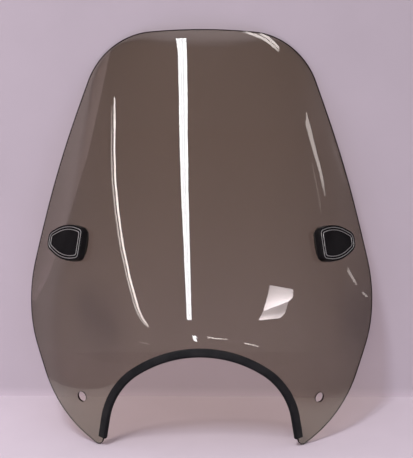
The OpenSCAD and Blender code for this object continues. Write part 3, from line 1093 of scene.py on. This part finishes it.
@dataclass
class MountBlock:
    """A mount on one side: cover, pin lines, gaskets, receiver, grommet and fasteners."""

    form: SheetForm
    cover_w: float = 334 * MM
    cover_z: float = 254 * MM
    roll: float = math.radians(12)
    cover_l: float = 60 * MM
    wide_h: float = 40 * MM
    narrow_h: float = 19.5 * MM
    bulge_h: float = 52 * MM
    corner_r: float = 8 * MM
    nose_r: float = 11 * MM
    least_corner: float = 3.5 * MM
    bulge_r: float = 54 * MM
    base: float = 1.5 * MM
    cover_t: float = 9 * MM
    face_t: float = 2.4 * MM
    wall_t: float = 2 * MM
    foot_round: float = 0.3 * MM
    foot_chamfer: float = 0.08 * MM
    draft_from: float = 1.6 * MM
    face_draft: float = 1.4 * MM
    face_round: float = 0.8 * MM
    face_steps: int = 5
    face_crown: float = 0.1 * MM
    face_shares: tuple[float, ...] = (1.0, 0.9, 0.75, 0.55, 0.3, 0.1)
    ceiling_shares: tuple[float, ...] = (0.1, 0.5)
    pin_w: float = 0.9 * MM
    pin_inset: float = 3.0 * MM
    pin_pitch: float = 3.2 * MM
    pin_depth: float = 0.6 * MM
    pin_proud: float = 0.2 * MM
    pin_gap: float = 0.05 * MM
    pin_round: float = 0.3 * MM
    pin_steps: int = 4
    groove_round: float = 0.08 * MM
    screw_w: float = 36 * MM
    corner_steps: int = 14
    cover_smooth: float = math.radians(32)
    pin_smooth: float = math.radians(40)
    flat_angle: float = math.radians(2)
    ease_steps: int = 3
    ease_angle: float = math.radians(40)
    fitting_smooth: float = math.radians(35)

    @property
    def seat(self) -> Array:
        """Seat of the right-hand mount on the outer face of the sheet."""
        return self.form.seat(self.cover_w / 2, self.cover_z, self.roll)

    @property
    def pin_insets(self) -> dict[str, float]:
        """Distances of the two pin lines in from the edge of the base."""
        return {"outer": self.pin_inset, "inner": self.pin_inset + self.pin_pitch}

    def outline(self) -> list[Corner]:
        """Draws the outline of a cover's base, its wide end towards the middle of the screen.

        Returns:
            Its corner points with their radii, counterclockwise.
        """
        upper = [
            (self.cover_l / 2, self.narrow_h / 2, self.nose_r),
            (0.0, self.bulge_h / 2, self.bulge_r),
            (-self.cover_l / 2, self.wide_h / 2, self.corner_r),
        ]
        return upper + [(x, -y, r) for x, y, r in reversed(upper)]

    def ring(self, inset: float, height: float, share: float = 1.0) -> Array:
        """Draws a ring of the outline.

        Args:
            inset: distance in from the edge of the base.
            height: height above the gasket.
            share: size of the ring, where it shrinks towards the middle of the face.

        Returns:
            Its points in the seat's own frame.
        """
        path = shifted(self.outline(), -inset, self.least_corner)
        flat = np.vstack(corner_arcs(path, self.corner_steps)) * share
        return np.column_stack((flat, np.full(len(flat), self.base + height)))

    def cover(self, side: Side) -> None:
        """Models and dresses a cover, as one moulded shell with grooves for its pin lines.

        Args:
            side: the side it is for.
        """
        top, under = self.cover_t, self.cover_t - self.face_t
        hollow, soft = self.face_draft + self.wall_t, self.foot_round
        profile = [
            (hollow + soft, under),
            (hollow, under - soft),
            (hollow, 0.0),
            (soft, 0.0),
            (self.foot_chamfer, self.foot_chamfer),
            (0.0, soft),
            (0.0, self.draft_from),
        ]
        rim, r = self.face_draft - self.face_round, self.face_round
        for a in quarter_turn(self.face_steps):
            profile.append((rim + r * (1 - math.cos(a)), top - r * (1 - math.sin(a))))
        for inset in self.pin_insets.values():
            outer, inner = inset - self.pin_gap, inset + self.pin_w + self.pin_gap
            floor, shoulder = top - self.pin_depth, top - self.groove_round
            profile += [(outer - self.groove_round, top), (outer, shoulder), (outer, floor)]
            profile += [(inner, floor), (inner, shoulder), (inner + self.groove_round, top)]
        rings = [self.ring(profile[0][0], under, share) for share in self.ceiling_shares]
        rings += [self.ring(inset, height) for inset, height in profile]
        for share in self.face_shares:
            rings.append(self.ring(profile[-1][0] + soft, top + self.face_crown * (1 - share**2), share))
        piece = closed_loft(f"{side.label}_cover_shell", seated(np.array(rings), self.seat, side))
        dress(piece, self.cover_smooth, COVER_PLASTIC, "cover_plastic", f"{side.label}_mount_cover")

    def pin_line(self, side: Side, place: str, inset: float) -> None:
        """Models and dresses one bright pin line in its groove.

        Args:
            side: the side it is for.
            place: which of the two lines it is.
            inset: its distance in from the edge of the base.
        """
        foot, crest, r = self.cover_t - self.pin_depth, self.cover_t + self.pin_proud, self.pin_round
        bend = quarter_turn(self.pin_steps)[::-1]
        rise = [(inset + r * (1 - math.sin(a)), crest - r * (1 - math.cos(a))) for a in bend]
        fall = [(2 * inset + self.pin_w - x, h) for x, h in reversed(rise)]
        profile = [(inset, foot), *rise, *fall, (inset + self.pin_w, foot), (inset, foot)]
        rows = np.array([self.ring(x, h) for x, h in profile])
        piece = closed_loft(f"{side.label}_{place}_pin_strip", seated(rows, self.seat, side), capped=False)
        dress(piece, self.pin_smooth, PIN_FOIL, "pinline_foil", f"{side.label}_{place}_pinline")

    def fitting(self, side: Side, part: str) -> None:
        """Models and dresses a fitting on the frame's own solid, with its edges eased.

        Args:
            side: the side it is for.
            part: the fitting's name.
        """
        finish, slot, ease = FITTINGS[part]
        node = f"{side.label}_{part}"
        deselect()
        piece = bpy.data.objects.new(f"{node}_eased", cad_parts[node].data.copy())
        bpy.context.scene.collection.objects.link(piece)
        edit_all(
            piece,
            lambda: weld(2 * WELD),
            lambda: bpy.ops.mesh.dissolve_limited(angle_limit=self.flat_angle),
        )
        bevel_edges(piece, ease, self.ease_steps, self.ease_angle)
        dress(piece, self.fitting_smooth, finish, slot, node)

    def build(self, side: Side) -> None:
        """Models all the pieces of the mount on one side.

        Args:
            side: the side they are for.
        """
        self.cover(side)
        for place, inset in self.pin_insets.items():
            self.pin_line(side, place, inset)
        for part in FITTINGS:
            self.fitting(side, part)


# The studio


@dataclass(frozen=True)
class BackdropFinish(Finish):
    """Pale paper, which is clear from behind and stays out of reflections, with painted shade at the top of
    the wall and painted light at its left.
    """

    wall: Colour
    # Painted shade: the wall's colour darkens towards this one at the top, evening out the lamp's brighter
    # light there.
    painted_shade_top: Colour
    table: Colour
    mottle: float = 0.04
    join: float = 0.014
    # Height at which the wall's painted shade is full.
    top: float = 0.55
    # Painted light: the paper's colour is scaled up at the left and down at the right, as if lit from the
    # left.
    sides: Range = (1.045, 0.965)
    half_width: float = 0.3

    def surface(self, tree: Tree) -> Socket:
        """Builds the nodes of the surface.

        Args:
            tree: the material's tree.

        Returns:
            The shader socket.
        """
        place = object_place(tree)
        cloud = noise(tree, place, scale=9, detail=3)
        axes = add_node(tree, "SeparateXYZ", {0: place}).outputs
        # Painted shade: the wall's colour darkens towards its top.
        wall = mixed_colour(tree, ranged(tree, axes["Z"], (0, self.top)), self.wall, self.painted_shade_top)
        flat = mixed_colour(tree, ranged(tree, axes["Z"], (0, self.join)), self.table, wall)
        patchy = ranged(tree, cloud, source=(0.3, 0.7), target=(1 - self.mottle, 1))
        # Painted light: the paper is lighter at the left and darker at the right.
        side = ranged(tree, axes["X"], (-self.half_width, self.half_width), self.sides)
        # The random mottle is the paper's own tone; the change from left to right is painted light.
        tone = combined(tree, "MULTIPLY", patchy, side)
        mottled_with_painted_light = add_node(tree, "VectorMath", {0: flat, "Scale": tone}, operation="SCALE").outputs[0]
        paper = add_node(tree, "BsdfDiffuse", {"Color": mottled_with_painted_light}).outputs[0]
        clear = add_node(tree, "BsdfTransparent").outputs[0]
        light = add_node(tree, "LightPath").outputs
        glossy, passed = light["Is Glossy Ray"], light["Is Transmission Ray"]
        mirrored = combined(tree, "SUBTRACT", glossy, passed, clamped=True)
        back = add_node(tree, "NewGeometry").outputs["Backfacing"]
        return mixed_shader(tree, combined(tree, "MAXIMUM", back, mirrored), paper, clear)


@dataclass(frozen=True)
class GlowFinish(Finish):
    """The glow of a lamp ribbon, with its strength in the ribbon's own attribute."""

    colour: Colour

    def surface(self, tree: Tree) -> Socket:
        """Builds the nodes of the surface.

        Args:
            tree: the material's tree.

        Returns:
            The shader socket.
        """
        level = add_node(tree, "Attribute", attribute_name=GLOW_LEVEL).outputs["Fac"]
        glow = add_node(tree, "Emission", {"Color": (*self.colour, 1), "Strength": level}).outputs[0]
        passed = add_node(tree, "LightPath").outputs["Is Transmission Ray"]
        return mixed_shader(tree, passed, glow, add_node(tree, "BsdfTransparent").outputs[0])


PAPER = BackdropFinish(
    "backdrop_paper", wall=(0.522, 0.456, 0.522), painted_shade_top=(0.437, 0.378, 0.433), table=(0.619, 0.539, 0.614)
)
COOL_GLOW = GlowFinish("cool_glow", (0.96, 0.97, 1.0))
WARM_GLOW = GlowFinish("warm_glow", (1.0, 0.93, 0.90))
BLUSH_GLOW = GlowFinish("blush_glow", (1.0, 0.90, 0.92))
ROSE_GLOW = GlowFinish("rose_glow", (1.0, 0.78, 0.82))


@dataclass(frozen=True)
class Eye:
    """The camera of the picture, which can also tell what the screen mirrors at a place in it."""

    place: Place = (0.0167, -1.4035, 0.5922)
    heading: float = math.radians(0.54)
    pitch: float = math.radians(13.095)
    focal: float = 1136.7
    centre: Pixel = (203.9, PHOTO_HEIGHT / 2)
    sensor: float = 36.0
    first_reaches: Range = (1.3, 1.5)
    secant_steps: int = 14

    def rays(self, pixels: Array) -> Array:
        """Finds the directions in which the camera sees places in the picture.

        Args:
            pixels: places in the picture, in the last axis.

        Returns:
            The directions, in the frame.
        """
        sine, cosine = math.sin(self.pitch), math.cos(self.pitch)
        right, below = np.moveaxis((pixels - np.array(self.centre)) / self.focal, -1, 0)
        ahead, rise = cosine - below * sine, -sine - below * cosine
        turn_x, turn_y = math.sin(self.heading), math.cos(self.heading)
        return unit(np.stack((right * turn_y - ahead * turn_x, right * turn_x + ahead * turn_y, rise), -1))

    def mirrored(self, pixels: Array, form: SheetForm, distance: float) -> Array:
        """Finds what the outer face of the screen mirrors at places in the picture.

        Args:
            pixels: places in the picture, in the last axis.
            form: the form of the sheet.
            distance: how far from the sheet the mirrored places are.

        Returns:
            The mirrored places, in the frame.
        """
        rays = self.rays(pixels)
        start, ahead = form.upright(np.array(self.place)), rays @ form.unlean

        def miss(reach: Array) -> Array:
            """Distance of the rays' ends in front of the sheet."""
            ends = start + reach[..., None] * ahead
            return form.surface(ends[..., [0, 2]])[0][..., 1] - ends[..., 1]

        near, far = (np.full(pixels.shape[:-1], reach) for reach in self.first_reaches)
        for _ in range(self.secant_steps):
            slope = (miss(far) - miss(near)) / np.where(far == near, 1.0, far - near)
            near, far = far, far - miss(far) / np.where(slope == 0, -1.0, slope)
        hits = start + far[..., None] * ahead
        normals = form.leaned(form.surface(hits[..., [0, 2]])[1])
        turned = rays - 2 * np.sum(rays * normals, -1, keepdims=True) * normals
        return form.stood(hits) + distance * turned

    def add_camera(self) -> None:
        """Sets the camera at the photograph's angle."""
        data = bpy.data.cameras.new("camera")
        data.sensor_width = self.sensor
        longest = max(PHOTO_WIDTH, PHOTO_HEIGHT)
        data.lens = self.sensor * self.focal / longest
        data.shift_x = (PHOTO_WIDTH / 2 - self.centre[0]) / longest
        camera = bpy.data.objects.new("camera", data)
        bpy.context.scene.collection.objects.link(camera)
        camera.location = self.place
        camera.rotation_euler = (math.pi / 2 - self.pitch, 0.0, self.heading)
        bpy.context.scene.camera = camera


@dataclass(frozen=True)
class LampRibbon:
    """A glowing ribbon of the room, hung where the screen mirrors it to a place in the picture."""

    name: str
    radiance: float
    left: tuple[Pixel, ...]
    right: tuple[Pixel, ...]
    across: tuple[float, ...] = (1, 1)
    along: tuple[float, ...] = (1, 1)
    finish: GlowFinish = WARM_GLOW
    distance: float = 1.5
    rows: int = 40
    columns: int = 12

    def add(self, eye: Eye, form: SheetForm) -> None:
        """Hangs the ribbon.

        Args:
            eye: the camera of the picture.
            form: the form of the sheet that mirrors it.
        """
        left, right = (resampled(np.array(edge), self.rows) for edge in (self.left, self.right))
        s, t = np.linspace(0, 1, self.columns + 1), np.linspace(0, 1, self.rows + 1)
        pixels = left[:, None] + s[None, :, None] * (right - left)[:, None]
        places = eye.mirrored(pixels, form, self.distance)
        share = np.interp(s, np.linspace(0, 1, len(self.across)), self.across)
        rise = np.interp(t, np.linspace(0, 1, len(self.along)), self.along)
        ribbon = lay_grid(self.name, places, self.radiance * rise[:, None] * share[None, :])
        ribbon.data.materials.append(self.finish.material())
        ribbon.visible_camera = ribbon.visible_diffuse = False
        ribbon.visible_transmission = ribbon.visible_shadow = False


TABLE_ROW = 450
TABLE_LEFT = ((40, 366), (50, 379), (62, 385), (80, 389), (98, 389), (120, 382))
TABLE_RIGHT = ((282, 392), (300, 398), (320, 398), (340, 393), (352, 385), (364, 372))


def dropped(edge: Sequence[Pixel]) -> tuple[Pixel, ...]:
    """Drops an edge of a ribbon straight down to the picture's row where the table's ribbons end."""
    return tuple((x, TABLE_ROW) for x, _ in edge)


RIBBONS = (
    LampRibbon(
        "ceiling_strip", 20, finish=COOL_GLOW, rows=80,
        left=((175.9, 38.2), (177.7, 50.5), (178.6, 86), (179.3, 127), (180.8, 184), (187, 320)),
        right=((185.9, 38.2), (186.9, 50.5), (187.4, 86), (187.6, 127), (188.3, 184), (191.4, 320)),
        across=(1, 1, 1, 1, 0.7, 1, 1, 0.55, 1, 1, 1, 1, 1),
    ),
    LampRibbon(
        "left_line", 18, along=(0.7, 1, 1, 1, 1, 1, 1, 1, 0.7), columns=4, rows=80,
        left=(
            (113.9, 97), (113.7, 120), (113.5, 149), (114.4, 181), (117.4, 213), (121.9, 245),
            (128.6, 277), (136.9, 307.5), (141.7, 318.4), (148, 327),
        ),
        right=(
            (115.1, 97), (115.6, 120), (115.2, 149), (116.2, 181), (119.2, 212.6), (123.7, 244.3),
            (130.4, 276.2), (138.6, 306.9), (143.2, 317.6), (148.8, 326.2),
        ),
    ),
    LampRibbon(
        "left_line_faint", 9, along=(0.3, 0.7, 1, 1, 1, 1, 0.9), columns=4, rows=80,
        left=(
            (111.5, 105), (110.9, 149), (111.9, 181), (115, 213), (119.5, 245), (126.3, 277),
            (134.6, 307.5), (138.9, 317.4), (145, 325.6),
        ),
        right=(
            (112.3, 105), (112, 149), (113, 181), (116.1, 212.6), (120.6, 244.5), (127.4, 276.4),
            (135.6, 306.9), (139.8, 316.8), (145.6, 325),
        ),
    ),
    LampRibbon(
        "top_streak", 10, along=(0.2, 1, 1, 1, 1, 0.9, 0.5), columns=6,
        left=(
            (242.6, 32.4), (246.5, 33.5), (251.4, 35.2), (260.6, 38.7), (268.3, 43.5), (275.9, 49.7),
            (278.6, 52.4),
        ),
        right=(
            (242.6, 31.4), (246.5, 31.2), (251.4, 32.6), (260.6, 35.8), (268.3, 40.4), (275.9, 46.8),
            (279, 50.1),
        ),
    ),
    LampRibbon(
        "top_streak_upper", 11, along=(0.6, 1, 1, 1, 0.8), columns=6,
        left=((259.5, 34.7), (265.6, 37.8), (269.4, 40.4), (273.2, 43.6), (277.1, 47.2), (279, 49.4)),
        right=((259.5, 32.7), (265.6, 34.9), (269.4, 37.4), (273.2, 40.6), (277.1, 44.2), (279.3, 46.8)),
    ),
    LampRibbon(
        "right_line", 5.3, along=(1, 1, 1, 1, 0.9, 0.35), columns=6,
        left=((306.3, 111.5), (305.5, 124.7), (310.9, 143.9), (318.9, 171.8), (322.5, 187.7), (324.6, 196)),
        right=((306.6, 111.5), (309.4, 122.3), (314.1, 141.5), (322.9, 176.6), (324.9, 190), (325.6, 197)),
    ),
    LampRibbon(
        "right_line_faint", 1.1, columns=4,
        left=((311.6, 163), (315.4, 183), (318.4, 198), (320.9, 213)),
        right=((312.6, 163), (316.6, 183), (319.6, 198), (321.7, 213)),
    ),
    LampRibbon(
        "window_upper", 19.5, finish=BLUSH_GLOW,
        left=((269.8, 285), (268.3, 293.5), (263.2, 311.2)),
        right=((293.6, 289.6), (292.5, 297.5), (288.4, 301.6)),
        across=(0.8, 0.95, 1, 1, 1), along=(0.43, 0.5, 0.68, 0.92, 1),
    ),
    LampRibbon(
        "window_lower", 16.5, finish=BLUSH_GLOW,
        left=((263.2, 311.2), (261.6, 314.5), (258.8, 320.4)),
        right=((288.4, 301.6), (285.3, 312.8), (280, 318.2)),
        across=(1, 0.95, 0.85, 0.7, 0.8), along=(0.42, 0.38, 0.46, 0.85, 1),
    ),
    LampRibbon(
        "lower_block", 20, finish=COOL_GLOW, rows=6,
        left=((192.2, 335.6), (194.3, 341.8)), right=((195.9, 335.6), (197.1, 341.5)),
    ),
    LampRibbon(
        "lower_dash", 12, columns=4,
        left=((207, 337), (227, 339.1)), right=((207.2, 338.1), (226.8, 339.8)),
    ),
    LampRibbon(
        "far_dash", 12, columns=4,
        left=((244.5, 342.8), (258.8, 346.1)), right=((244.3, 343.7), (258.6, 346.8)),
    ),
    LampRibbon(
        "near_dash", 2.4, along=(0.6, 1, 0.6), columns=4,
        left=((138, 341.1), (149.8, 343.6)), right=((137.8, 342.4), (149.6, 344.8)),
    ),
    LampRibbon(
        "side_streak", 3.4, along=(0.5, 1, 1, 1, 0.7), distance=0.45,
        left=((348.2, 267), (347.1, 271.1), (354.5, 283.4), (356.5, 285.2)),
        right=((348.5, 267), (349.4, 269.7), (356.8, 283.1), (357, 285)),
    ),
    LampRibbon(
        "side_streak_low", 3, distance=0.3,
        left=((361.8, 292.9), (366.6, 297.5)), right=((363.1, 291.7), (368, 296.4)),
    ),
    LampRibbon(
        "upper_room", 0.5, distance=2.2,
        left=((126, 35), (137, 31.5), (160, 28.5), (240, 28.5), (262, 31.5)),
        right=((128, 54), (140, 52), (162, 51), (238, 52), (258, 54)),
        across=(1, 0.8, 0.45, 0.25, 0.12, 0), along=(0, 0.3, 1, 1, 1, 1, 0.6),
    ),
    LampRibbon(
        "edge_streak", 0.42, across=(0, 1, 0), along=(0, 1, 1, 0), distance=0.8,
        left=((322, 118), (335, 162), (346.5, 202)), right=((327.5, 117), (341, 160), (352, 200)),
    ),
    LampRibbon(
        "lower_room", 0.3, distance=2.4,
        left=((72, 130), (42, 230), (30, 300), (40, 352)),
        right=((330, 130), (340, 230), (345, 300), (340, 352)),
        across=(0.3, 0.8, 1, 1, 1, 0.9, 0), along=(0, 0.3, 0.6, 0.9, 1),
    ),
    LampRibbon(
        "left_room", 0.41, finish=ROSE_GLOW, distance=2,
        left=((103, 48), (90, 70), (76, 105), (60, 150), (43, 214), (28, 275), (24, 300)),
        right=((111, 48), (106.5, 70), (99, 105), (89, 150), (70, 214), (49, 275), (36, 300)),
        across=(1.5, 0.8, 0.85, 1.2, 1.65, 2), along=(1.25, 1.2, 1.1, 0.95, 0.8, 0.75, 0.7),
    ),
    LampRibbon(
        "table_left", 1.1, TABLE_LEFT, dropped(TABLE_LEFT), distance=0.5, across=(0.7, 1, 1, 1, 1),
    ),
    LampRibbon(
        "table_right", 0.95, TABLE_RIGHT, dropped(TABLE_RIGHT), distance=0.5,
        across=(0.2, 0.8, 1, 1, 1, 1, 1),
    ),
)


@dataclass(frozen=True)
class SoftLamp:
    """A soft lamp that lights the table and stays out of reflections."""

    name: str = "ceiling_key"
    place: Place = (-0.62, -1.7, 2.5)
    aim: Place = (0.0, 0.0, 0.2)
    width: float = 0.38
    length: float = 0.8
    watts: float = 49

    def add(self) -> None:
        """Hangs the lamp."""
        light = bpy.data.lights.new(self.name, "AREA")
        light.shape = "RECTANGLE"
        light.energy = self.watts
        light.size, light.size_y = self.width, self.length
        lamp = bpy.data.objects.new(self.name, light)
        bpy.context.scene.collection.objects.link(lamp)
        lamp.location = self.place
        lamp.rotation_euler = (Vector(self.aim) - lamp.location).to_track_quat("-Z", "Y").to_euler()
        lamp.visible_camera = lamp.visible_glossy = lamp.visible_transmission = False


@dataclass(frozen=True)
class Room:
    """The light of the room, pale where the camera sees it and dim in reflections."""

    pale: Colour = (0.52, 0.47, 0.53)
    dim: Colour = (0.05, 0.05, 0.055)
    fill: Colour = (1.0, 0.97, 0.98)
    fill_heights: Range = (-0.2, 1)
    fill_levels: Range = (0.55, 0.99)

    def add(self) -> None:
        """Sets the world to the light of the room."""
        world = bpy.context.scene.world = bpy.data.worlds.new("room")
        world.use_nodes = True
        tree = world.node_tree
        tree.nodes.clear()
        ray = add_node(tree, "TexCoord").outputs["Generated"]
        height = add_node(tree, "SeparateXYZ", {0: ray}).outputs["Z"]
        level = ranged(tree, height, self.fill_heights, self.fill_levels)
        shown, pale, dim = (
            add_node(tree, "Background", {"Color": (*colour, 1), "Strength": strength}).outputs[0]
            for colour, strength in ((self.fill, level), (self.pale, 1), (self.dim, 1))
        )
        light = add_node(tree, "LightPath").outputs
        for kind, other in (("Glossy", dim), ("Transmission", pale), ("Camera", pale)):
            shown = mixed_shader(tree, light[f"Is {kind} Ray"], shown, other)
        add_node(tree, "OutputWorld", {"Surface": shown})


@dataclass
class Studio:
    """The pale floor and wall, the lamps, the room and the camera."""

    form: SheetForm
    eye: Eye = Eye()
    lamp: SoftLamp = SoftLamp()
    room: Room = Room()
    wall_y: float = 0.1012
    wall_top: float = 1.6
    floor_front: float = -2.4
    half_width: float = 1.6

    def backdrop(self) -> None:
        """Lays the floor and the wall as one sheet of paper."""
        profile = [(self.floor_front, 0.0), (self.wall_y, 0.0), (self.wall_y, self.wall_top)]
        rows = np.array([[(x, y, z) for x in (-self.half_width, self.half_width)] for y, z in profile])
        paper = lay_grid("backdrop", rows)
        paper.data.materials.append(PAPER.material())

    def build(self) -> None:
        """Sets up the whole studio, with the ribbons that the screen mirrors."""
        bpy.context.scene.view_settings.view_transform = "Standard"
        self.backdrop()
        for ribbon in RIBBONS:
            ribbon.add(self.eye, self.form)
        self.lamp.add()
        self.room.add()
        self.eye.add_camera()


def main() -> None:
    """Builds the windshield screen and its studio."""
    logging.basicConfig(level=logging.INFO, format="%(message)s")
    form = SheetForm()
    mount = MountBlock(form)
    screen = Screen(form)
    screen.build(mount.seat, mount.screw_w)
    HeadlightTrim(screen).build()
    for side in Side:
        mount.build(side)
    Studio(form).build()


if __name__ == "__main__":
    main()
